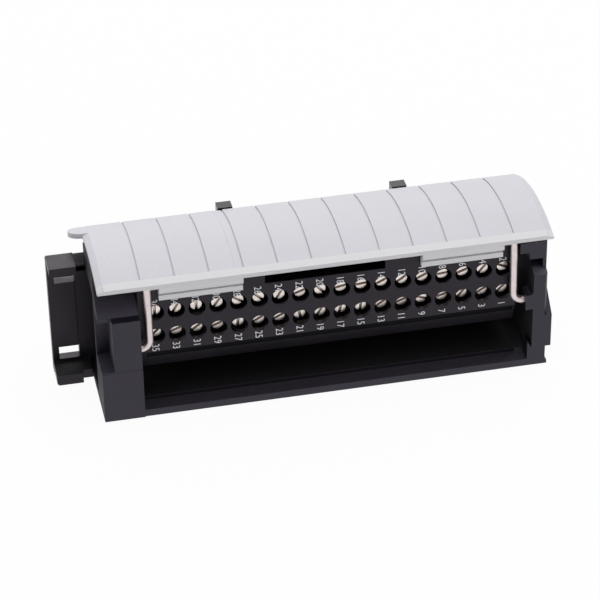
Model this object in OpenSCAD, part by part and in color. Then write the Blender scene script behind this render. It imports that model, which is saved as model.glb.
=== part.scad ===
// Removable terminal block: 36 screw clamps in two rows, a wiring channel below them,
// a strain relief at the left end and an arched door that rides on two hinge wires.
// The block lies on the outer face of its channel wall. X runs along the rows, the
// screws face -Y, and Y = 0 is the plane of the screw face.

/* [Terminals] */
// Number of terminal columns, each with a lower and an upper terminal
columns = 18; // [12:1:24]
// Distance between neighbouring columns
pitch = 5.08; // [5:0.01:6.5]
// Distance between the lower and the upper row of screws
row_gap = 6.6; // [6.5:0.1:8]
// Diameter of a screw well
well_d = 4.2; // [3.6:0.1:4.4]
// Diameter of a screw head
head_d = 2.8; // [2.4:0.1:3.4]
// Height of a screw head
head_h = 1.6; // [1.2:0.1:2]
// Depth of the upper screw heads below the face
head_sink = 1.5; // [0.8:0.1:2]
// How much deeper the lower screw heads sit
sink_step = 0.5; // [0:0.1:0.8]
// Width of a screwdriver slot
slot_w = 0.7; // [0.4:0.05:0.8]
// Depth of a screwdriver slot
slot_d = 0.7; // [0.4:0.05:1]
// Diameter of a screw shank
shank_d = 2; // [1.6:0.1:2.2]
// Depth of the lower clamp cages behind the face
cage_y = 5; // [4.6:0.1:6]
// How much deeper the upper clamp cages sit
cage_step = 7; // [6.6:0.1:7.4]
// Width of a clamp cage
cage_w = 3.9; // [3.5:0.1:4.1]
// Depth of a clamp cage
cage_d = 6; // [5.6:0.1:6.3]
// Height of a clamp cage
cage_h = 4.4; // [4:0.1:4.6]
// Wall of a clamp cage
cage_wall = 0.6; // [0.5:0.05:0.7]
// Thickness of the threaded front wall of a clamp cage
cage_collar = 1.4; // [1:0.1:1.6]
// Thickness of the contact metal
strip_t = 0.5; // [0.4:0.05:0.6]
// Height of a contact strip
strip_h = 1.4; // [1:0.1:1.5]
// Gap between a clamp cage's collar and the contact's tab
tab_gap = 0.4; // [0.2:0.1:0.8]
// Gap between a clamp cage and the contact strip above it
strip_gap = 0.3; // [0.2:0.1:0.4]
// Width of a contact's socket
socket_w = 1.6; // [1.4:0.1:1.8]
// Length of a contact's socket
socket_l = 6; // [4:0.1:6.5]
// Height of a contact's socket
socket_h = 2.2; // [2:0.1:2.4]
// Thickness of a socket's closed end
socket_base = 1; // [0.5:0.1:1.5]
// Width of the slot for a module's pin
pin_w = 0.8; // [0.6:0.05:1]
// Height of the slot for a module's pin
pin_h = 1.2; // [0.8:0.05:1.4]
// Size of the wire entries along the rows
wire_w = 3.4; // [2.8:0.1:3.5]

/* [Core] */
// Thickness of the core's channel floor
core_floor_t = 1; // [0.8:0.1:2]
// Clear height of the wiring channel
channel_h = 7.5; // [6:0.1:12]
// Height of the bevel under the screw face
bevel_h = 5.4; // [3:0.1:7]
// Run of the bevel under the screw face
bevel_run = 2.2; // [1:0.1:3]
// Land from the lower screws down to the edge of the face
land_low = 4.4; // [4:0.1:7]
// Land from the upper screws up to the top of the core
land_top = 7.4; // [6.6:0.1:10]
// Land from the end columns to the left end of the core
end_left = 4.2; // [3.4:0.1:4.2]
// Land from the end columns to the right end of the core
end_right = 3.2; // [3:0.1:4]
// Depth of the core from its face to the contact carrier
core_depth = 24; // [23:0.5:30]
// Depth of the contact carrier behind the core
carrier_depth = 8; // [7.5:0.1:12]
// Drop of the contact carrier's top below the top of the core
carrier_drop = 1.2; // [0.9:0.1:2]
// Land below the lower sockets in the contact carrier
carrier_land = 1.5; // [1:0.1:3]
// Width of a catch on the contact carrier
catch_w = 3.8; // [2:0.1:6]
// Thickness of a catch
catch_t = 3; // [1:0.1:3.2]
// Height of a catch above the core
catch_h = 1.8; // [1:0.1:3]
// Inset of the catches from the rear
catch_inset = 0.1; // [0:0.1:0.3]
// Place of the left catch along the rows
catch_left_x = -20.6; // [-24:0.1:-10]
// Place of the right catch along the rows
catch_right_x = 23.8; // [10:0.1:25]
// Front of the back wall behind the wiring channel
web_y = 20; // [19.5:0.5:21]
// Thickness of the back wall
web_t = 2.1; // [1.6:0.1:2.4]
// Length of the notch in the top edge of the face
notch_l = 29.7; // [10:0.1:36]
// Depth of the notch behind the face
notch_d = 4; // [1:0.1:6]
// Height of the notch
notch_h = 2.9; // [1:0.1:3]
// Place of the notch's middle along the rows
notch_x = -1.5; // [-6:0.1:6]

/* [Strain relief] */
// Reach of the strain relief past the housing
relief_reach = 9.3; // [8:0.1:20]
// Depth of the strain relief's flanges
flange_d = 6.6; // [4:0.1:12]
// Length of the flanges
flange_l = 6.6; // [4:0.1:7.4]
// Thickness of the lower flange
flange_low_t = 2.85; // [2:0.05:4]
// Thickness of the upper flange
flange_top_t = 2.5; // [2:0.05:4]
// Overall height of the strain relief
relief_h = 34.1; // [30:0.1:34.4]
// Drop from the upper flange to the top of the back wall
relief_drop = 1.6; // [0.5:0.1:2]
// Height of the step under the lower flange's inner part
flange_step = 0.4; // [0.2:0.1:1]
// Radius of the flanges' outer corners
flange_r = 0.8; // [0.4:0.1:1.2]
// How far the strain relief stands in front of the back wall
pad_t = 0.4; // [0.2:0.1:1]
// Land from the end of the strain relief to the tie slots
tie_margin = 1.6; // [1:0.1:2.4]
// Length of a tie slot
tie_l = 5.1; // [4:0.1:6]
// Height of a tie slot
tie_h = 3.55; // [2.5:0.05:4]
// Height of the lower tie slot above the base
tie_z = 3.65; // [3.2:0.05:6]
// Land from the top of the back wall down to the upper tie slot
tie_drop = 3; // [2.5:0.05:6]
// Depth of the lower saddle beside the flange
saddle_low_d = 5.2; // [3:0.1:6]
// Depth of the upper saddle beside the flange
saddle_top_d = 3.4; // [2:0.1:5]
// Height of the upper saddle
saddle_h = 2.9; // [2:0.1:4]
// Height of the pocket in the upper saddle
pocket_h = 1.4; // [0.8:0.1:1.6]
// Length of that pocket
pocket_l = 2.2; // [1:0.1:2.4]
// Thickness of the saddle above and behind that pocket
pocket_skin = 0.4; // [0.3:0.1:1]

/* [Housing] */
// Thickness of the housing's floor
floor_t = 1.9; // [1.4:0.1:3]
// Reach of the housing in front of the screw face
front_reach = 4.2; // [3.9:0.1:4.3]
// Land from the end columns to the inner faces of the posts
post_land = 4.3; // [4.2:0.1:6]
// Width of the left post
left_post_w = 9.9; // [8:0.1:14]
// Depth of the left post
left_post_d = 10.2; // [9.6:0.1:12]
// Height of the left post's lower block
left_block_h = 14; // [10:0.1:15]
// Height of the left post below its ramp
left_post_h = 28; // [26:0.1:29]
// How far the left post's lower block stands proud
block_proud = 0.25; // [0.1:0.05:0.5]
// Depth of the flat ledge on the left post
ledge_d = 2.5; // [0.6:0.1:3]
// Width of the recess beside the left post's upper block
recess_w = 3.1; // [1.5:0.1:4]
// Depth of that recess
recess_d = 8.9; // [6:0.1:9]
// Thickness of the ramp's edge over that recess
ramp_edge_t = 1; // [0.6:0.1:2]
// Thickness of the arched arm over the left end
arm_wall_t = 2.2; // [1.6:0.1:3]
// Depth of the arched arm below its top
arm_wall_h = 6.6; // [4:0.1:8]
// Gap from the line of the posts' inner faces to the right end wall
boss_l = 2.2; // [2:0.1:3]
// Inset of the right pivot boss from that line
boss_inset = 0.3; // [0:0.1:0.6]
// Height of the right pivot boss
boss_h = 4.2; // [3.6:0.1:5]
// Thickness of the right end wall
right_wall_t = 3.5; // [3:0.1:5]
// Height of the right post's step
right_step_h = 26.4; // [24:0.1:27]
// Height of the ramp above the right post's step
right_ramp_h = 2.1; // [1:0.1:3]
// Thickness of the guide rib on the right end
guide_t = 1.4; // [1:0.1:2]
// Lower edge of the guide rib
guide_z0 = 5.2; // [4:0.1:7]
// Upper edge of the guide rib at the front
guide_z1 = 14.4; // [10:0.1:15]
// Rise of the guide rib's slanted edge
guide_rise = 7; // [3:0.1:10]
// Depth of the guide rib
guide_d = 14.2; // [11:0.1:20]
// Reach of the right post's top bar in front of the screw face
bar_reach = 2.5; // [2:0.1:2.6]
// Lower edge of the top bar
bar_z = 30.1; // [29:0.1:31]
// Overhang of the top bar into the pocket
bar_over = 0.7; // [0.3:0.1:1.5]
// Thickness of the rim beside the ramp
rim_t = 0.9; // [0.6:0.1:1.5]
// Chamfer of the right post's outer edge
post_chamfer = 0.5; // [0.2:0.1:1]
// Radius in the corner between the right pivot boss and the wall
boss_r = 1; // [0.4:0.1:1.5]
// Height of the right foot's inner edge
foot_h = 7.1; // [6:0.1:9]
// Lower edge of the top bar above the right pocket
pocket_top_z = 32; // [31.5:0.1:33]
// Depth of the top bar behind the screw face above that pocket
pocket_bar_d = 12; // [4:0.5:18]
// Flare along the foot of the right end wall
foot_flare = 0.5; // [0.2:0.1:1]
// Height of that flare
foot_flare_h = 0.95; // [0.5:0.05:1.5]

/* [Door] */
// Radius of the door's outer face
door_r = 44; // [40:0.5:60]
// Thickness of the door
door_t = 1.3; // [1:0.1:1.8]
// Height of the door's crown above the top of the core
crown_rise = 5.05; // [5:0.05:6]
// Place of the crown behind the screw face
crown_y = 11.7; // [11:0.1:12.5]
// Reach of the lip in front of the screw face
lip_reach = 3.2; // [2.9:0.1:3.4]
// Reach of the door's rear edge behind the screw face
rear_reach = 28.1; // [26:0.1:28.5]
// Overhang of the door past the right end wall
door_over_right = 1.5; // [0:0.1:2]
// Inset of the door from the left end of the housing
door_in_left = 0.2; // [0:0.1:1]
// Width of the bevel along the door's ends
door_bevel_w = 1.5; // [0.6:0.1:2]
// Depth of the bevel along the door's ends
door_bevel_d = 0.6; // [0.3:0.1:0.8]
// Number of grooves across the door
grooves = 12; // [0:1:16]
// Distance between the grooves
groove_pitch = 8.33; // [5:0.01:9]
// Place of the grooves' middle along the rows
groove_x = -0.9; // [-4:0.1:4]
// Width of a groove
groove_w = 0.4; // [0.3:0.05:0.8]
// Depth of a groove
groove_d = 0.3; // [0.1:0.05:0.5]
// Width of the plain band along the lip
lip_band = 2.3; // [1:0.1:6]
// Height of that band above the door's outer face
lip_rise = 0.1; // [0.05:0.05:0.3]
// Radius of the lip's left corner
lip_corner_r = 1; // [0.5:0.1:2]
// Groove that the index band lies beside, counted from the left
index_groove = 4; // [1:1:10]
// Width of the index band
index_w = 1.9; // [1:0.1:4]
// Depth of the index band
index_d = 0.12; // [0.05:0.01:0.3]
// Radius of the finger tab at the left end
tab_r = 3.2; // [2:0.1:4]
// Inset of the finger tab from the rear edge
tab_inset = 0.3; // [0:0.1:2]

/* [Hinge] */
// Diameter of the hinge wires
wire_d = 1.9; // [1.6:0.1:2]
// Radial clearance of the wires in their bores
hinge_play = 0.05; // [0.03:0.01:0.1]
// Diameter of the door's hinge sleeves
sleeve_d = 2.8; // [2.6:0.1:3]
// Place of the hinge sleeves in front of the screw face
hinge_reach = 1.3; // [1.2:0.05:1.5]
// Drop of the hinge sleeves below the crown of the door
sleeve_drop = 3.85; // [3.7:0.05:4.2]
// Diameter of the rounded lower edge of a hinge sleeve's skirt
skirt_d = 1.6; // [1:0.1:2]
// Drop of the skirt's rounded edge below the axis of the sleeve
skirt_drop = 1.1; // [0.6:0.1:1.4]
// Height of the jaw under a hinge sleeve
jaw_h = 1.4; // [0.8:0.1:1.8]
// Gap between a hinge sleeve's skirt and its jaw
jaw_gap = 0.8; // [0.4:0.1:1]
// Depth of a jaw
jaw_d = 1.25; // [1:0.05:1.4]
// Thickness of the wall that carries a jaw
jaw_wall_t = 0.6; // [0.4:0.1:0.8]
// Gap between the jaws and the screw face
jaw_clear = 0.35; // [0.3:0.05:0.5]
// Length of a hinge sleeve
sleeve_l = 20.4; // [10:0.1:22]
// Outer end of a hinge sleeve, measured in from the post
sleeve_out = 5.1; // [4.6:0.1:8]
// Distance of the wires' legs from the posts
leg_in = 2.3; // [1.6:0.1:3]
// Place of the lower pivots in front of the screw face
pivot_reach = 2.2; // [2:0.1:2.5]
// Bend radius at the lower ends of the wires
bend_r = 2.2; // [1.8:0.1:2.3]
// Bend radius at the upper ends of the wires
bend_top_r = 1.1; // [1.05:0.05:1.5]
// Room around the wires' upper bends under the door
bend_room = 0.15; // [0.1:0.05:0.3]
// Length of wire inside a post
pivot_engage = 3.4; // [2:0.1:4]
// Room past the end of a wire in its bore
bore_room = 0.3; // [0.2:0.1:1]
// Inset of a wire's end from the inner end of its sleeve
wire_inset = 1; // [0.5:0.1:4]
// Height of the lower pivots above the base
pivot_z = 18.7; // [18:0.1:19.5]

/* [Hidden] */
$fn = 64;
eps = 0.02;
fit = 0.1;   // clearance of pieces that sit in the core
slide = 0.1; // clearance between the core and the housing
curve_gap = 0.5; // gap between the door and the arches under it

// How far each screw happens to be turned, in degrees from the row
turn_lower = [45, 20, 35, 20, 85, 30, 25, 100, 60, 80, 85, 35, 20, -20, 15, 50, 30, 45];
turn_upper = [90, 60, 90, 55, -35, -45, 60, 20, -50, 10, 5, 25, 35, 25, 5, 20, 50, -25];

// Heights, from the base up
core_under = floor_t + core_floor_t + channel_h;
face_bottom = core_under + bevel_h;
row_z = [face_bottom + land_low, face_bottom + land_low + row_gap];
core_top = row_z[1] + land_top;

// Places along the rows
row_half = (columns - 1) * pitch / 2;
core_left = -row_half - end_left;
core_right = row_half + end_right;
post_in = row_half + post_land;
left_out = -post_in - left_post_w;
right_in = post_in + boss_l;
right_out = right_in + right_wall_t;
front_y = -front_reach;
housing_rear = web_y - slide;

// Door and hinge
crown_z = core_top + crown_rise;
door_axis_z = crown_z - door_r;
door_in_r = door_r - door_t;
door_left = left_out + door_in_left;
door_right = right_out + door_over_right;
lip_angle = asin((crown_y + lip_reach) / door_r);
rear_angle = asin((rear_reach - crown_y) / door_r);
band_angle = lip_band / door_r * 180 / PI;
hinge_y = -hinge_reach;
hinge_z = crown_z - sleeve_drop;
pivot_y = -pivot_reach;
leg_x = post_in - leg_in;
sleeve = [post_in - sleeve_out - sleeve_l, post_in - sleeve_out];
leg_l = norm([hinge_y - pivot_y, hinge_z - pivot_z]);
leg_tilt = -atan2(hinge_y - pivot_y, hinge_z - pivot_z);
bore_d = wire_d + 2 * hinge_play;
room_r = wire_d / 2 + bend_room;

// Contacts, measured from the screw axis of their terminal
tab_y = cage_collar + tab_gap;
strip_x = cage_w / 2 + fit;
strip_z = cage_h / 2 + strip_gap;
socket_x = strip_x + strip_t - socket_w;
socket_z = strip_z + strip_h / 2 - socket_h / 2;

function col_x(i) = -row_half + i * pitch;
function groove_at(i) = groove_x + (i - (grooves - 1) / 2) * groove_pitch;
function cage_front(row) = cage_y + row * cage_step;
function turn(row, i) = row == 0 ? turn_lower[i % len(turn_lower)] : turn_upper[i % len(turn_upper)];

// A box between two values on each axis
module block(x, y, z) {
    translate([x[0], y[0], z[0]]) cube([x[1] - x[0], y[1] - y[0], z[1] - z[0]]);
}

// A (Y, Z) outline drawn out along X
module along_x(x) {
    translate([x[0], 0, 0]) rotate([90, 0, 90]) linear_extrude(x[1] - x[0]) children();
}

// An (X, Z) outline drawn out along Y
module along_y(y) {
    translate([0, y[1], 0]) rotate([90, 0, 0]) linear_extrude(y[1] - y[0]) children();
}

// A cylinder along X
module rod_x(x, y, z, d) {
    translate([x[0], y, z]) rotate([0, 90, 0]) cylinder(d = d, h = x[1] - x[0]);
}

// A cylinder along Y
module rod_y(x, y, z, d) {
    translate([x, y[0], z]) rotate([-90, 0, 0]) cylinder(d = d, h = y[1] - y[0]);
}

// A (radius, X) outline turned about the door's axis, from the rear edge to the lip
module around_door(from_angle, to_angle) {
    translate([0, crown_y, door_axis_z]) rotate([0, 90, 0]) rotate([0, 0, 180 - from_angle])
        rotate_extrude(angle = from_angle + to_angle, $fn = 128) children();
}

// Everything below the arch of the door, as a (Y, Z) outline
module under_arch(gap) {
    translate([crown_y, door_axis_z]) circle(r = door_in_r - gap, $fn = 128);
}

module left_post() {
    ramp_rise = core_top - left_post_h;
    rear = front_y + left_post_d;
    difference() {
        along_x([left_out, -post_in]) intersection() {
            polygon([
                [front_y, 0], [front_y, left_post_h], [front_y + ledge_d, left_post_h],
                [front_y + ledge_d + ramp_rise, core_top], [rear, core_top + crown_rise], [rear, 0]
            ]);
            under_arch(curve_gap);
        }
        // Recess beside the upper block, open to the left and at the ledge
        along_x([left_out - 1, left_out + recess_w]) polygon([
            [front_y - 1, left_block_h], [front_y + recess_d, left_block_h],
            [front_y + recess_d, left_post_h - ramp_edge_t], [front_y + ledge_d, left_post_h - ramp_edge_t],
            [front_y + ledge_d, left_post_h + 1], [front_y - 1, left_post_h + 1]
        ]);
    }
    // Lower block, a little proud of the upper one
    along_x([left_out, -post_in]) polygon([
        [front_y + eps, 0], [front_y - block_proud, 0], [front_y - block_proud, left_block_h - block_proud],
        [front_y, left_block_h], [front_y + eps, left_block_h]
    ]);
    // Arm over the wire outlet, under the left end of the door
    along_x([left_out, left_out + arm_wall_t]) intersection() {
        difference() {
            translate([rear - eps, 0]) square([housing_rear - rear + eps, crown_z]);
            under_arch(curve_gap + arm_wall_h);
        }
        under_arch(curve_gap);
    }
}

module right_end() {
    ramp_top = right_step_h + right_ramp_h;
    boss_z = [pivot_z - boss_h / 2, pivot_z + boss_h / 2];
    bar_y = -bar_reach;
    pocket_in = core_right + slide;
    // Wall with the step and the ramp, its rim and the top bar
    difference() {
        intersection() {
            union() {
                along_x([right_in, right_out]) polygon([
                    [front_y, 0], [front_y, right_step_h], [0, ramp_top], [0, crown_z],
                    [housing_rear, crown_z], [housing_rear, 0]
                ]);
                block([right_out - rim_t, right_out], [bar_y, eps], [right_step_h - eps, crown_z]);
                block([right_in - bar_over, right_out - rim_t + eps], [bar_y, eps], [bar_z, crown_z]);
                block([pocket_in, right_in + eps], [bar_y, pocket_bar_d], [pocket_top_z, crown_z]);
            }
            along_x([pocket_in, right_out]) under_arch(curve_gap);
        }
        // Chamfer of the outer edge, above the guide rib
        translate([right_out, front_y, guide_z1]) linear_extrude(right_step_h)
            rotate(45) square(sqrt(2) * post_chamfer, center = true);
    }
    // Pivot boss with a rounded corner above it
    block([post_in + boss_inset, right_in + eps], [front_y, 0], boss_z);
    difference() {
        block([right_in - boss_r, right_in + eps], [front_y, 0], [boss_z[1] - eps, boss_z[1] + boss_r]);
        rod_y(right_in - boss_r, [front_y - 1, 1], boss_z[1] + boss_r, 2 * boss_r);
    }
    // Foot with a slanted top and a flare along the outside
    along_y([front_y, 0]) polygon([
        [post_in + boss_l / 2, 0], [post_in + boss_l / 2, foot_h], [right_in, guide_z0],
        [right_in + eps, guide_z0], [right_in + eps, 0]
    ]);
    block([right_out - eps, right_out + foot_flare], [front_y, housing_rear], [0, foot_flare_h]);
    // Guide rib on the outer face
    along_x([right_out - eps, right_out + guide_t]) polygon([
        [front_y, guide_z0], [front_y, guide_z1], [front_y + guide_rise, guide_z1 + guide_rise],
        [front_y + guide_d, guide_z1 + guide_rise], [front_y + guide_d, guide_z0]
    ]);
}

module housing() {
    color([0.15, 0.15, 0.16]) difference() {
        union() {
            block([left_out, right_out], [front_y, housing_rear], [0, floor_t]);
            left_post();
            right_end();
        }
        rod_x([-post_in - pivot_engage - bore_room, -post_in + 1], pivot_y, pivot_z, bore_d);
        rod_x([post_in - 1, post_in + pivot_engage + bore_room], pivot_y, pivot_z, bore_d);
    }
}

// The spaces that one terminal takes from the core
module terminal_space(x, row) {
    z = row_z[row];
    y = cage_front(row);
    tab = y + tab_y;
    rod_y(x, [-1, y], z, well_d);
    block(
        [x - cage_w / 2 - fit, x + cage_w / 2 + fit], [y - fit, y + cage_d + fit],
        [z - cage_h / 2 - fit, z + cage_h / 2 + fit]
    );
    // Wire entry from the channel, behind the contact's tab
    block(
        [x - wire_w / 2, x + wire_w / 2], [tab + strip_t + fit, y + cage_d - cage_wall],
        [core_under - 1, z]
    );
    // Slots for the contact's tab and strip
    block(
        [x - cage_w / 2 + cage_wall, x + strip_x + strip_t + fit / 2],
        [tab - fit / 2, tab + strip_t + fit / 2], [z, z + strip_z + strip_h + fit / 2]
    );
    block(
        [x + strip_x - fit / 2, x + strip_x + strip_t + fit / 2], [tab - fit / 2, core_depth + 1],
        [z + strip_z - fit / 2, z + strip_z + strip_h + fit / 2]
    );
}

// A flange of the strain relief, rounded at its lower outer edge
module flange(z) {
    end = left_out - relief_reach;
    along_y([web_y - flange_d, web_y + eps]) {
        translate([end + flange_r, z[0]]) square([flange_l - flange_r, z[1] - z[0]]);
        translate([end, z[0] + flange_r]) square([flange_l, z[1] - z[0] - flange_r]);
        translate([end + flange_r, z[0] + flange_r]) circle(r = flange_r);
    }
}

module strain_relief() {
    end = left_out - relief_reach;
    pad = [end, end + flange_l];
    saddle = [end + flange_l - eps, left_out - slide];
    tie_x = [end + tie_margin, end + tie_margin + tie_l];
    web_top = relief_h - relief_drop;
    difference() {
        union() {
            block([end, core_left + eps], [web_y, web_y + web_t], [0, web_top]);
            block(pad, [web_y - pad_t, web_y + eps], [0, web_top]);
            flange([0, flange_low_t]);
            flange([relief_h - flange_top_t, relief_h]);
            block(saddle, [web_y - saddle_low_d, web_y + eps], [flange_step, flange_low_t]);
            block(saddle, [web_y - saddle_top_d, web_y + eps], [web_top - saddle_h, web_top]);
        }
        for (z = [tie_z, web_top - tie_drop - tie_h])
            block(tie_x, [web_y - pad_t - 1, web_y + web_t + 1], [z, z + tie_h]);
        // Pocket in the upper saddle
        block(
            [saddle[1] - pocket_l, saddle[1] - eps], [web_y - saddle_top_d - 1, web_y + web_t - pocket_skin],
            [web_top - pocket_skin - pocket_h, web_top - pocket_skin]
        );
    }
}

module terminal_core() {
    notch_z = core_top - notch_h;
    color([0.12, 0.12, 0.13]) union() {
        difference() {
            along_x([core_left, core_right]) polygon([
                [0, face_bottom], [0, core_top], [core_depth, core_top],
                [core_depth, core_under], [bevel_run, core_under]
            ]);
            for (row = [0, 1]) for (i = [0 : columns - 1]) terminal_space(col_x(i), row);
            block([notch_x - notch_l / 2, notch_x + notch_l / 2], [-1, notch_d], [notch_z, core_top + 1]);
        }
        // Back wall and floor of the wiring channel
        block([core_left, right_out], [web_y, web_y + web_t], [0, core_under + eps]);
        block([core_left, core_right], [0, web_y + eps], [floor_t, floor_t + core_floor_t]);
        strain_relief();
    }
}

module contact_carrier() {
    rear = core_depth + carrier_depth;
    low = row_z[0] + socket_z - carrier_land;
    top = core_top - carrier_drop;
    color([0.1, 0.1, 0.11]) union() {
        difference() {
            block([core_left, core_right], [core_depth, rear], [low, top]);
            for (row = [0, 1]) for (i = [0 : columns - 1]) {
                x = col_x(i) + socket_x;
                z = row_z[row] + socket_z;
                block(
                    [x - fit, x + socket_w + fit], [core_depth - 1, core_depth + socket_l + 2 * fit],
                    [z - fit, z + socket_h + fit]
                );
                translate([x + socket_w / 2, rear, z + socket_h / 2])
                    cube([pin_w, 2 * carrier_depth, pin_h], center = true);
            }
        }
        // Two catches on the rear edge
        for (x = [catch_left_x, catch_right_x])
            block(
                [x - catch_w / 2, x + catch_w / 2], [rear - catch_inset - catch_t, rear - catch_inset],
                [top - eps, core_top + catch_h]
            );
    }
}

module screws(row) {
    sink = head_sink + (1 - row) * sink_step;
    tip = cage_front(row) + tab_y - fit / 2;
    for (i = [0 : columns - 1]) translate([col_x(i), 0, row_z[row]]) rotate([0, -turn(row, i), 0])
        difference() {
            union() {
                rod_y(0, [sink, sink + head_h], 0, head_d);
                rod_y(0, [sink + head_h - eps, tip], 0, shank_d);
            }
            block([-head_d, head_d], [sink - 1, sink + slot_d], [-slot_w / 2, slot_w / 2]);
        }
}

module screws_lower() {
    color([0.78, 0.72, 0.64]) screws(0);
}

module screws_upper() {
    color([0.78, 0.72, 0.64]) screws(1);
}

module clamp_cages(row) {
    y = cage_front(row);
    in_w = cage_w / 2 - cage_wall;
    for (i = [0 : columns - 1]) translate([col_x(i), y, row_z[row]]) difference() {
        block([-cage_w / 2, cage_w / 2], [0, cage_d], [-cage_h / 2, cage_h / 2]);
        block([-in_w, in_w], [cage_collar, cage_d - cage_wall], [-cage_h, cage_h]);
        rod_y(0, [-1, cage_collar + 1], 0, shank_d + fit);
    }
}

module clamp_cages_lower() {
    color([0.7, 0.68, 0.62]) clamp_cages(0);
}

module clamp_cages_upper() {
    color([0.7, 0.68, 0.62]) clamp_cages(1);
}

module contacts(row) {
    y = cage_front(row) + tab_y;
    box_y = core_depth + fit;
    tab_half = cage_w / 2 - cage_wall - fit / 2;
    for (i = [0 : columns - 1]) translate([col_x(i), 0, row_z[row]]) {
        block([-tab_half, tab_half], [y, y + strip_t], [-cage_h / 2, strip_z + strip_h]);
        block([0, strip_x + strip_t], [y, y + strip_t], [strip_z, strip_z + strip_h]);
        block([strip_x, strip_x + strip_t], [y, box_y + socket_base], [strip_z, strip_z + strip_h]);
        translate([socket_x, box_y, socket_z]) difference() {
            cube([socket_w, socket_l, socket_h]);
            translate([socket_w / 2, socket_l, socket_h / 2])
                cube([pin_w, 2 * (socket_l - socket_base), pin_h], center = true);
        }
    }
}

module contacts_lower() {
    color([0.8, 0.66, 0.35]) contacts(0);
}

module contacts_upper() {
    color([0.8, 0.66, 0.35]) contacts(1);
}

// Sleeve for one hinge wire under the lip, with its skirt and the jaw that hangs below it
module hinge_sleeve(x) {
    skirt_y = hinge_y - (sleeve_d - skirt_d) / 2;
    skirt_z = hinge_z - skirt_drop;
    jaw_top = skirt_z - skirt_d / 2 - jaw_gap;
    jaw_y = [-jaw_clear - jaw_d, -jaw_clear];
    rod_x(x, hinge_y, hinge_z, sleeve_d);
    rod_x(x, skirt_y, skirt_z, skirt_d);
    block(x, [skirt_y - skirt_d / 2 + eps, skirt_y], [skirt_z, hinge_z]);
    block(x, jaw_y, [jaw_top - jaw_h, jaw_top]);
    block(x, [jaw_y[1] - jaw_wall_t, jaw_y[1]], [jaw_top - eps, hinge_z]);
    along_x(x) intersection() {
        translate([hinge_y - wire_d / 2, hinge_z]) square([(wire_d + sleeve_d) / 2, crown_z - hinge_z]);
        under_arch(-door_t / 2);
    }
}

// Room under the door for one wire's upper bend, at every angle between them
module bend_space() {
    x = [sleeve[1], leg_x + room_r];
    rod_x(x, hinge_y, hinge_z, 2 * room_r);
    block(x, [hinge_y, hinge_y + 2 * room_r], [hinge_z - sleeve_d, hinge_z + room_r + eps]);
}

module door() {
    color([0.84, 0.84, 0.86]) difference() {
        union() {
            around_door(rear_angle, lip_angle) polygon([
                [door_in_r, door_left], [door_r - door_bevel_d, door_left],
                [door_r, door_left + door_bevel_w], [door_r, door_right - door_bevel_w],
                [door_r - door_bevel_d, door_right], [door_in_r, door_right]
            ]);
            // Finger tab at the left end, near the rear edge
            intersection() {
                around_door(rear_angle, 0)
                    translate([door_in_r, door_left - 2 * tab_r]) square([door_t - eps, 4 * tab_r]);
                translate([door_left, rear_reach - tab_r - tab_inset, 0])
                    cylinder(r = tab_r, h = 2 * crown_z);
            }
            // Raised band along the lip
            around_door(band_angle - lip_angle, lip_angle)
                translate([door_r - door_t / 2, door_left + door_bevel_w])
                    square([door_t / 2 + lip_rise, door_right - door_left - 2 * door_bevel_w]);
            hinge_sleeve(sleeve);
            hinge_sleeve([-sleeve[1], -sleeve[0]]);
        }
        rod_x([-sleeve[1] - 1, sleeve[1] + 1], hinge_y, hinge_z, bore_d);
        bend_space();
        mirror([1, 0, 0]) bend_space();
        // Rounded left corner of the lip, which meets the end face at a small angle
        translate([door_left, -lip_reach, 0]) difference() {
            translate([-1, -1, 0]) cube([lip_corner_r + 1, lip_corner_r + 1, 2 * crown_z]);
            translate([lip_corner_r - eps, lip_corner_r, 0]) cylinder(r = lip_corner_r, h = 2 * crown_z);
        }
        // Grooves across the arch and the index band
        for (i = [0 : 1 : grooves - 1])
            around_door(rear_angle + 1, lip_angle - band_angle)
                translate([door_r - groove_d, groove_at(i) - groove_w / 2]) square([1, groove_w]);
        around_door(rear_angle + 1, lip_angle - band_angle)
            translate([door_r - index_d, groove_at(index_groove - 1) - index_w]) square([1, index_w]);
    }
}

// One wire: an end in the post, a leg up to the door and an end in the door's sleeve
module hinge_wire() {
    inner = sleeve[0] + wire_inset;
    translate([0, pivot_y, pivot_z]) rotate([leg_tilt, 0, 0]) {
        rod_x([leg_x + bend_r, post_in + pivot_engage], 0, 0, wire_d);
        translate([leg_x, 0, bend_r]) cylinder(d = wire_d, h = leg_l - bend_r - bend_top_r);
        rod_x([inner, leg_x - bend_top_r], 0, leg_l, wire_d);
        translate([leg_x + bend_r, 0, bend_r]) rotate([90, 0, 0]) rotate([0, 0, 180]) wire_bend(bend_r);
        translate([leg_x - bend_top_r, 0, leg_l - bend_top_r]) rotate([90, 0, 0]) wire_bend(bend_top_r);
    }
}

module wire_bend(r) {
    rotate_extrude(angle = 90) translate([r, 0]) circle(d = wire_d);
}

module hinge_wire_left() {
    color([0.88, 0.84, 0.81]) mirror([1, 0, 0]) hinge_wire();
}

module hinge_wire_right() {
    color([0.88, 0.84, 0.81]) hinge_wire();
}

housing();
terminal_core();
contact_carrier();
door();
hinge_wire_left();
hinge_wire_right();
screws_lower();
screws_upper();
clamp_cages_lower();
clamp_cages_upper();
contacts_lower();
contacts_upper();
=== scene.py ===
"""The look of the removable terminal block: finishes, terminal numbers, light and camera."""
import math
from collections import namedtuple

import bmesh
import bpy
from mathutils import Matrix, Vector


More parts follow.
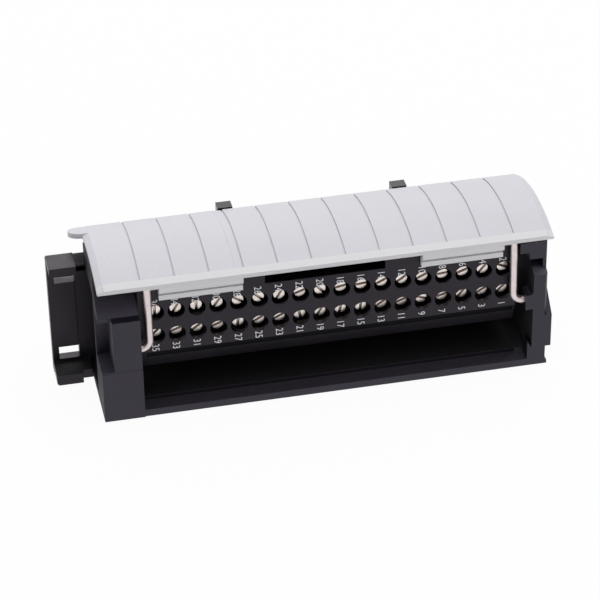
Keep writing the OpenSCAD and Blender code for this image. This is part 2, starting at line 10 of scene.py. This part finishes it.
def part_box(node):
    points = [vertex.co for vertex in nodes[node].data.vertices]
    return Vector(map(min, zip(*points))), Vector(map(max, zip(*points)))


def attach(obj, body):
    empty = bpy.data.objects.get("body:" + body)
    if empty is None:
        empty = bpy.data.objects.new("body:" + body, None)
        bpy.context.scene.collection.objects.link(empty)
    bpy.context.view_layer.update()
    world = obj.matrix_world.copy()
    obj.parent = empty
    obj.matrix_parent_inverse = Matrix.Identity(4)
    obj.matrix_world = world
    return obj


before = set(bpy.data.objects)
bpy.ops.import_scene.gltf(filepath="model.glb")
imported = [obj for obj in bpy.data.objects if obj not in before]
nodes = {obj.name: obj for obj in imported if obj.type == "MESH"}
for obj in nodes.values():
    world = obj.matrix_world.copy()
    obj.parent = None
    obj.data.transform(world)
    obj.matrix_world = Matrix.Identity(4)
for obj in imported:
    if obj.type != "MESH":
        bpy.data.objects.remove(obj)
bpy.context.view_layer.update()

MM = 0.001

# Camera of the photograph: place in metres, angles in degrees, lens and sensor in millimetres
PHOTO_PIXELS = 600
CAMERA_PLACE = Vector((-113.7, -527.9, 381.5)) * MM
CAMERA_AZIMUTH = -11.34
CAMERA_ELEVATION = 33.50
CAMERA_ROLL = 1.0
CAMERA_LENS = 160.2
CAMERA_SENSOR = 36.0
CAMERA_SHIFT = 0.5 / PHOTO_PIXELS
CAMERA_NEAR = 0.01
CAMERA_FAR = 50

# Terminal numbers: text size, how much the digits are squeezed and thinned, and their place
COLUMNS = 18
NUMBER_SIZE = 2.6 * MM
NUMBER_WIDTH = 0.84
NUMBER_THIN = 0.01 * MM
NUMBER_STEPS = 3
NUMBER_ABOVE = 2.85 * MM
NUMBER_BELOW = 3.35 * MM
NUMBER_LEFT = 0.45 * MM
INK_T = 0.03 * MM

# Printing ink: colours where it is worn and full, and the grain of the wear
INK_WORN = (0.72, 0.71, 0.74, 1)
INK_FULL = (0.90, 0.89, 0.93, 1)
INK_GRAIN = 0.3 * MM

# Edge rounding of the mouldings and the metal
MOULD_EDGE = 0.2 * MM
METAL_EDGE = 0.08 * MM
EDGE_SAMPLES = 4

# Door: colours of its grain and clouds, their sizes, and the painted highlight, a paler band along its lip
DOOR_DARK = (0.61, 0.605, 0.65, 1)
DOOR_GREY = (0.63, 0.625, 0.67, 1)
DOOR_LIGHT = (0.66, 0.655, 0.70, 1)
DOOR_GRAIN = 0.35 * MM
DOOR_DEPTH = 0.03 * MM
DOOR_CLOUD = 14 * MM
# Painted highlight along the lip: its width and colour
LIP_LIT_WIDTH = 2.3 * MM
LIP_HIGHLIGHT = (0.70, 0.69, 0.715, 1)

# Metal: how much finer its marks are than its clouds, how far they change the roughness, and their depth
MARKS_FINER = 6
MARKS_SMOOTHER = 0.05
MARKS_ROUGHER = 0.08
MARKS_DEPTH = 0.01 * MM

# Crevices in the screws, where ambient occlusion paints brown shade: its reach and samples
CREVICE = 0.8 * MM
CREVICE_SAMPLES = 8

# Most of a noise lies between these values, and its middle makes no bump
NOISE_LOW = 0.3
NOISE_HIGH = 0.7
NOISE_MIDDLE = 0.5

# Black mouldings: size of the clouds in their sheen, and how far these change the roughness
CLOUD = 6 * MM
CLOUD_CHANGE = 0.06

# Walls of the black mouldings that differ from the rest: colours of their grain, roughness, and whether the
# grain also makes a bump. Besides their real roughness, the near-black walls in recesses and on the shaded
# side carry painted shade, and the paler walls on the sill and the recess floor carry painted light.
Wall = namedtuple("Wall", "dark light roughness bumpy")
# Painted shade: a near-black colour for walls that lie in shade
SHADE_BLACK = (0.002, 0.002, 0.002, 1)
# Rough walls with painted shade
DULL_SHADED = Wall(SHADE_BLACK, SHADE_BLACK, 0.7, True)
# Painted light: paler grain and a rougher finish on lit floors
ROUGH_LIT = Wall((0.008, 0.007, 0.010, 1), (0.036, 0.033, 0.045, 1), 0.55, True)
# Smooth walls with painted shade
SMOOTH_SHADED = Wall(SHADE_BLACK, SHADE_BLACK, 0.22, False)

# Places of the walls with painted shade and painted light in the frame, and how exactly and squarely a face
# lies there
POCKET_WALL = 49.68 * MM
CHANNEL_FLOOR = 2.87 * MM
RECESS_FLOOR = 14.0 * MM
SILL = 1.9 * MM
SILL_BACK = 1.4 * MM
WALL_REACH = 0.06 * MM
WALL_SQUARE = 0.9

# Smooth walls of the core, with painted shade in the screw wells: how far behind the screw face they begin,
# and how far past the end screws and below the lower ones they go
SMOOTH_START = 0.05 * MM
SMOOTH_PAST = 1.2 * MM
SMOOTH_DOWN = 6.3 * MM

# White surroundings: strength for the camera and in mirror images, and for all other light
WORLD_WHITE = 1.0
WORLD_LIGHT = 0.45

# The surroundings' dark side in mirror images: its direction, its strength, and where it begins and is full,
# as cosines of the angle to that direction
DARK_SIDE = (0.0, -0.83, 0.56)
DARK_LIGHT = 0.45
DARK_BEGINS = 0.6
DARK_FULL = 0.95

# Floor: half its width, its level just under the block, and how far it shows as plain white
FLOOR_HALF = 4.0
FLOOR_LEVEL = -0.05 * MM
FLOOR_GREY = (0.9, 0.9, 0.9, 1)
FLOOR_ROUGH = 0.8
FLOOR_GLOW = 0.95

# Square soft lights: place and width in metres, and power in watts
LIGHT_AIM = (0, 0.01, 0.02)
LIGHTS = {
    "top": ((0.15, 0.08, 0.9), 0.9, 4.0),
    "front": ((0.45, -0.7, 0.5), 0.6, 1.0),
    "left": ((-0.8, -0.2, 0.5), 0.5, 0.25),
    "back": ((0.0, 0.9, 0.6), 0.7, 2.1),
}


def shader(name, **values):
    """A new material and its node tree, with plain values set on the shader's own sockets."""
    material = bpy.data.materials.new(name)
    material.use_nodes = True
    tree = material.node_tree
    bsdf = tree.nodes["Principled BSDF"]
    for socket, value in values.items():
        bsdf.inputs[socket.replace("_", " ")].default_value = value
    return material, tree, bsdf


def add(tree, kind, inputs=None, **attributes):
    """A node of that kind; inputs are values, or sockets to link from."""
    node = tree.nodes.new(kind)
    for key, value in attributes.items():
        setattr(node, key, value)
    for key, value in (inputs or {}).items():
        if isinstance(value, bpy.types.NodeSocket):
            tree.links.new(value, node.inputs[key])
        else:
            node.inputs[key].default_value = value
    return node


def calc(tree, operation, *values):
    """The result of a Math node; values are numbers, or sockets to link from."""
    return add(tree, "ShaderNodeMath", dict(enumerate(values)), operation=operation).outputs[0]


def coordinates(tree):
    """Coordinates that stay with the piece, in metres."""
    return add(tree, "ShaderNodeTexCoord").outputs["Object"]


def axes(tree, vector):
    """The X, Y and Z of a vector."""
    return add(tree, "ShaderNodeSeparateXYZ", {"Vector": vector}).outputs


def noise(tree, at, size, detail=4.0, roughness=0.6):
    """Noise with grains of about that size in metres."""
    inputs = {"Vector": at, "Scale": 1 / size, "Detail": detail, "Roughness": roughness}
    return add(tree, "ShaderNodeTexNoise", inputs).outputs["Fac"]


def spread(tree, value, low=0.0, high=1.0):
    """A noise stretched to run from low to high."""
    inputs = {"Value": value, "From Min": NOISE_LOW, "From Max": NOISE_HIGH, "To Min": low, "To Max": high}
    return add(tree, "ShaderNodeMapRange", inputs).outputs["Result"]


def mix(tree, factor, first, second):
    """A colour between two colours."""
    return add(tree, "ShaderNodeMix", {0: factor, 6: first, 7: second}, data_type="RGBA").outputs[2]


def blend(tree, factor, first, second):
    """A value between two values."""
    return add(tree, "ShaderNodeMix", {0: factor, 2: first, 3: second}).outputs[0]


def bump(tree, height, strength, depth, edge):
    """A bump of that depth in metres, on edges rounded to that radius."""
    rounded = add(tree, "ShaderNodeBevel", {"Radius": edge}, samples=EDGE_SAMPLES).outputs["Normal"]
    inputs = {"Height": height, "Strength": strength, "Distance": depth, "Normal": rounded}
    return add(tree, "ShaderNodeBump", inputs).outputs["Normal"]


def wall_at(tree, at, axis, level):
    """1 on the faces across an axis at that level, 0 elsewhere."""
    normal = add(tree, "ShaderNodeTexCoord").outputs["Normal"]
    lean = calc(tree, "ABSOLUTE", axes(tree, normal)[axis])
    square = calc(tree, "GREATER_THAN", lean, WALL_SQUARE)
    there = calc(tree, "COMPARE", axes(tree, at)[axis], level, WALL_REACH)
    return calc(tree, "MULTIPLY", square, there)


def behind_sill(tree, at):
    """1 behind the sill of the wiring channel, 0 on the sill."""
    return calc(tree, "GREATER_THAN", axes(tree, at)["Y"], SILL_BACK)


def housing_dull(tree, at):
    """1 where shade is painted: on the housing's left side, the pocket wall beside the right wire and the
    floor behind the sill.
    """
    left = wall_at(tree, at, "X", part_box("housing")[0].x)
    sides = calc(tree, "MAXIMUM", wall_at(tree, at, "X", POCKET_WALL), left)
    floor = calc(tree, "MULTIPLY", wall_at(tree, at, "Z", SILL), behind_sill(tree, at))
    return calc(tree, "MAXIMUM", sides, floor)


def housing_scuffed(tree, at):
    """1 where light is painted: on the sill in front of the wiring channel and on the recess floor in the
    left post.
    """
    sill = calc(tree, "GREATER_THAN", wall_at(tree, at, "Z", SILL), behind_sill(tree, at))
    return calc(tree, "MAXIMUM", sill, wall_at(tree, at, "Z", RECESS_FLOOR))


def core_dull(tree, at):
    """1 where shade is painted: on the floor of the wiring channel and of the strain relief."""
    return wall_at(tree, at, "Z", CHANNEL_FLOOR)


def core_smooth(tree, at):
    """1 where shade is painted, with a smoother finish: in the screw wells and on the bevel under them, 0 on
    the screw face and the ends of the core.
    """
    low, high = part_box("screws_lower")
    bottom = (low.z + high.z) / 2 - SMOOTH_DOWN
    middle = (low.x + high.x) / 2
    reach = (high.x - low.x) / 2 + SMOOTH_PAST
    place = axes(tree, at)
    behind = calc(tree, "GREATER_THAN", place["Y"], SMOOTH_START)
    along = calc(tree, "COMPARE", place["X"], middle, reach)
    above = calc(tree, "GREATER_THAN", place["Z"], bottom)
    return calc(tree, "MULTIPLY", calc(tree, "MULTIPLY", behind, along), above)


def black_plastic(name, dark, light, roughness, shine, sheen, grain, depth, walls):
    """A black moulding with a fine grain and a faint cloudy sheen; walls has a mask for each kind of wall
    that carries painted shade or painted light.
    """
    material, tree, bsdf = shader(name, Specular_IOR_Level=shine, Specular_Tint=sheen)
    at = coordinates(tree)
    cloud = noise(tree, at, CLOUD, detail=3.0)
    height = noise(tree, at, grain, detail=5.0, roughness=0.7)
    speck = spread(tree, height)
    tone = mix(tree, speck, dark, light)
    rough = spread(tree, cloud, roughness - CLOUD_CHANGE, roughness + CLOUD_CHANGE)
    # Walls with painted shade or painted light take their own grain colours and roughness
    for wall, mask in walls.items():
        share = mask(tree, at)
        tone = mix(tree, share, tone, mix(tree, speck, wall.dark, wall.light))
        rough = blend(tree, share, rough, wall.roughness)
        if not wall.bumpy:
            height = blend(tree, share, height, NOISE_MIDDLE)
    link = tree.links.new
    link(tone, bsdf.inputs["Base Color"])
    link(rough, bsdf.inputs["Roughness"])
    link(bump(tree, height, strength=0.6, depth=depth, edge=MOULD_EDGE), bsdf.inputs["Normal"])
    return material


def door_plastic():
    """Light grey moulding with a fine grain, with a painted highlight along the lip."""
    material, tree, bsdf = shader("door_plastic", Roughness=0.5)
    at = coordinates(tree)
    grain = noise(tree, at, DOOR_GRAIN, roughness=0.65)
    cloud = noise(tree, at, DOOR_CLOUD, detail=2.0)
    body = mix(tree, spread(tree, cloud), DOOR_GREY, DOOR_LIGHT)
    tone = mix(tree, spread(tree, grain), DOOR_DARK, body)
    # Painted highlight: the front band along the lip is paler
    lit_band = calc(tree, "LESS_THAN", axes(tree, at)["Y"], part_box("door")[0].y + LIP_LIT_WIDTH)
    link = tree.links.new
    link(mix(tree, lit_band, tone, LIP_HIGHLIGHT), bsdf.inputs["Base Color"])
    link(bump(tree, grain, strength=0.35, depth=DOOR_DEPTH, edge=MOULD_EDGE), bsdf.inputs["Normal"])
    return material


def metal(name, pale, deep, roughness, grain, crevice_shade=None):
    """Plated metal with small differences in tone and faint marks; its crevices may be darkened with painted
    shade.
    """
    material, tree, bsdf = shader(name, Metallic=1.0)
    at = coordinates(tree)
    cloud = noise(tree, at, grain)
    marks = noise(tree, at, grain / MARKS_FINER, detail=3.0)
    tone = mix(tree, spread(tree, cloud), deep, pale)
    # Painted shade: crevices darkened towards the given colour by ambient occlusion
    if crevice_shade:
        inputs = {"Distance": CREVICE}
        sky = add(tree, "ShaderNodeAmbientOcclusion", inputs, only_local=True, samples=CREVICE_SAMPLES)
        tone = mix(tree, spread(tree, sky.outputs["AO"]), crevice_shade, tone)
    link = tree.links.new
    link(tone, bsdf.inputs["Base Color"])
    rough = spread(tree, marks, roughness - MARKS_SMOOTHER, roughness + MARKS_ROUGHER)
    link(rough, bsdf.inputs["Roughness"])
    link(bump(tree, marks, strength=0.3, depth=MARKS_DEPTH, edge=METAL_EDGE), bsdf.inputs["Normal"])
    return material


def ink():
    """White printing ink, a little uneven."""
    material, tree, bsdf = shader("number_ink", Roughness=0.6)
    wear = noise(tree, coordinates(tree), INK_GRAIN, detail=3.0)
    tone = mix(tree, spread(tree, wear), INK_WORN, INK_FULL)
    tree.links.new(tone, bsdf.inputs["Base Color"])
    return material


def finish_nodes():
    """Gives every piece of the frame its finish."""
    housing = black_plastic(
        "housing_plastic", dark=(0.005, 0.004, 0.008, 1), light=(0.010, 0.008, 0.015, 1),
        roughness=0.40, shine=0.56, sheen=(0.90, 0.86, 1.0, 1), grain=0.3 * MM, depth=0.05 * MM,
        walls={DULL_SHADED: housing_dull, ROUGH_LIT: housing_scuffed},
    )
    core = black_plastic(
        "core_plastic", dark=(0.004, 0.0035, 0.006, 1), light=(0.010, 0.009, 0.012, 1),
        roughness=0.40, shine=0.36, sheen=(0.97, 0.87, 1.0, 1), grain=0.25 * MM, depth=0.03 * MM,
        walls={DULL_SHADED: core_dull, SMOOTH_SHADED: core_smooth},
    )
    wire = metal(
        "hinge_wire", pale=(0.77, 0.695, 0.70, 1), deep=(0.68, 0.595, 0.60, 1), roughness=0.36,
        grain=1.5 * MM,
    )
    # The screws get brown painted shade in their slots
    screw = metal(
        "screw_metal", pale=(0.92, 0.85, 0.81, 1), deep=(0.72, 0.64, 0.60, 1), roughness=0.26,
        grain=0.8 * MM, crevice_shade=(0.13, 0.08, 0.05, 1),
    )
    cage = metal(
        "cage_metal", pale=(0.72, 0.70, 0.64, 1), deep=(0.58, 0.55, 0.50, 1), roughness=0.32,
        grain=1.0 * MM,
    )
    contact = metal(
        "contact_metal", pale=(0.82, 0.68, 0.38, 1), deep=(0.68, 0.54, 0.28, 1), roughness=0.28,
        grain=1.2 * MM,
    )
    finishes = {
        "housing": housing, "terminal_core": core, "contact_carrier": core, "door": door_plastic(),
        "hinge_wire_left": wire, "hinge_wire_right": wire, "screws_lower": screw, "screws_upper": screw,
        "clamp_cages_lower": cage, "clamp_cages_upper": cage,
        "contacts_lower": contact, "contacts_upper": contact,
    }
    for name, material in finishes.items():
        mesh = nodes[name].data
        mesh.materials.clear()
        mesh.materials.append(material)


def number_mesh(number):
    """The digits of a terminal number, lying flat round the origin."""
    curve = bpy.data.curves.new("number", "FONT")
    curve.body = str(number)
    curve.align_x, curve.align_y = "CENTER", "CENTER"
    curve.size = NUMBER_SIZE
    curve.offset = -NUMBER_THIN
    curve.extrude = INK_T / 2
    curve.resolution_u = NUMBER_STEPS
    text = bpy.data.objects.new("number", curve)
    mesh = bpy.data.meshes.new_from_object(text)
    bpy.data.objects.remove(text)
    return mesh


def terminal_numbers():
    """White numbers on the screw face: even ones above the upper row, odd ones below the lower row."""
    low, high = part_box("screws_lower")
    upper_low, upper_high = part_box("screws_upper")
    head = high.z - low.z
    first = low.x + head / 2 - NUMBER_LEFT
    pitch = (high.x - low.x - head) / (COLUMNS - 1)
    lower_z = (low.z + high.z) / 2 - NUMBER_BELOW
    upper_z = (upper_low.z + upper_high.z) / 2 + NUMBER_ABOVE
    face_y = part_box("terminal_core")[0].y
    squeeze = Matrix.Diagonal((NUMBER_WIDTH, 1, 1, 1))
    # The text runs down the face, with the tops of its digits to the right
    turn = Matrix(((0, 1, 0), (0, 0, -1), (-1, 0, 0))).to_4x4()
    marks = bmesh.new()
    for column in range(COLUMNS):
        even = 2 * (COLUMNS - column)
        for number, z in ((even, upper_z), (even - 1, lower_z)):
            mesh = number_mesh(number)
            spot = Matrix.Translation((first + column * pitch, face_y, z))
            mesh.transform(spot @ turn @ squeeze)
            marks.from_mesh(mesh)
            bpy.data.meshes.remove(mesh)
    mesh = bpy.data.meshes.new("terminal_numbers")
    marks.to_mesh(mesh)
    marks.free()
    mesh.materials.append(ink())
    piece = bpy.data.objects.new("terminal_numbers", mesh)
    bpy.context.scene.collection.objects.link(piece)
    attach(piece, "base")


def camera():
    """The photograph's camera."""
    data = bpy.data.cameras.new("camera")
    data.lens, data.sensor_width = CAMERA_LENS, CAMERA_SENSOR
    data.shift_y = CAMERA_SHIFT
    data.clip_start, data.clip_end = CAMERA_NEAR, CAMERA_FAR
    azimuth, elevation = math.radians(CAMERA_AZIMUTH), math.radians(CAMERA_ELEVATION)
    flat = math.cos(elevation)
    back = Vector((math.sin(azimuth) * flat, -math.cos(azimuth) * flat, math.sin(elevation)))
    level = (-back).to_track_quat("-Z", "Y").to_matrix()
    roll = Matrix.Rotation(math.radians(-CAMERA_ROLL), 3, "Z")
    obj = bpy.data.objects.new("camera", data)
    obj.matrix_world = Matrix.Translation(CAMERA_PLACE) @ (level @ roll).to_4x4()
    bpy.context.scene.collection.objects.link(obj)
    bpy.context.scene.camera = obj


def surroundings():
    """A white world, darker in mirror images on the side in front of the block."""
    world = bpy.data.worlds.new("studio")
    bpy.context.scene.world = world
    world.use_nodes = True
    tree = world.node_tree
    background = tree.nodes["Background"]
    background.inputs["Color"].default_value = (1, 1, 1, 1)
    ray = add(tree, "ShaderNodeLightPath").outputs
    sides = {0: add(tree, "ShaderNodeTexCoord").outputs["Generated"], 1: DARK_SIDE}
    facing = add(tree, "ShaderNodeVectorMath", sides, operation="DOT_PRODUCT").outputs["Value"]
    fade = {
        "Value": facing, "From Min": DARK_BEGINS, "From Max": DARK_FULL,
        "To Min": WORLD_WHITE, "To Max": DARK_LIGHT,
    }
    mirrored = add(tree, "ShaderNodeMapRange", fade, interpolation_type="SMOOTHSTEP").outputs["Result"]
    lit = blend(tree, ray["Is Glossy Ray"], WORLD_LIGHT, mirrored)
    strength = blend(tree, ray["Is Camera Ray"], lit, WORLD_WHITE)
    tree.links.new(strength, background.inputs["Strength"])


def white_floor():
    """A white floor with a soft shadow; it is clear from below, so that the block's underside shows."""
    mesh = bpy.data.meshes.new("floor")
    corners = ((-1, -1), (1, -1), (1, 1), (-1, 1))
    points = [(x * FLOOR_HALF, y * FLOOR_HALF, FLOOR_LEVEL) for x, y in corners]
    mesh.from_pydata(points, [], [(0, 1, 2, 3)])
    material, tree, bsdf = shader("floor", Base_Color=FLOOR_GREY, Roughness=FLOOR_ROUGH)
    glow = add(tree, "ShaderNodeEmission").outputs[0]
    ray = add(tree, "ShaderNodeLightPath").outputs
    seen = calc(tree, "MAXIMUM", ray["Is Camera Ray"], ray["Is Glossy Ray"])
    share = calc(tree, "MULTIPLY", seen, FLOOR_GLOW)
    above = add(tree, "ShaderNodeMixShader", {0: share, 1: bsdf.outputs[0], 2: glow}).outputs[0]
    below = add(tree, "ShaderNodeNewGeometry").outputs["Backfacing"]
    clear = add(tree, "ShaderNodeBsdfTransparent").outputs[0]
    one_way = add(tree, "ShaderNodeMixShader", {0: below, 1: above, 2: clear}).outputs[0]
    tree.links.new(one_way, tree.nodes["Material Output"].inputs["Surface"])
    mesh.materials.append(material)
    floor = bpy.data.objects.new("floor", mesh)
    bpy.context.scene.collection.objects.link(floor)


def soft_light(name, place, width, power):
    """A square soft light that looks at the middle of the block."""
    data = bpy.data.lights.new(name, "AREA")
    data.shape, data.size, data.energy = "SQUARE", width, power
    obj = bpy.data.objects.new(name, data)
    obj.location = place
    obj.rotation_euler = (Vector(LIGHT_AIM) - Vector(place)).to_track_quat("-Z", "Y").to_euler()
    bpy.context.scene.collection.objects.link(obj)


def studio():
    """White surroundings and floor, and soft light."""
    bpy.context.scene.view_settings.view_transform = "Standard"
    surroundings()
    white_floor()
    for name, (place, width, power) in LIGHTS.items():
        soft_light(name, place, width, power)


finish_nodes()
terminal_numbers()
camera()
studio()
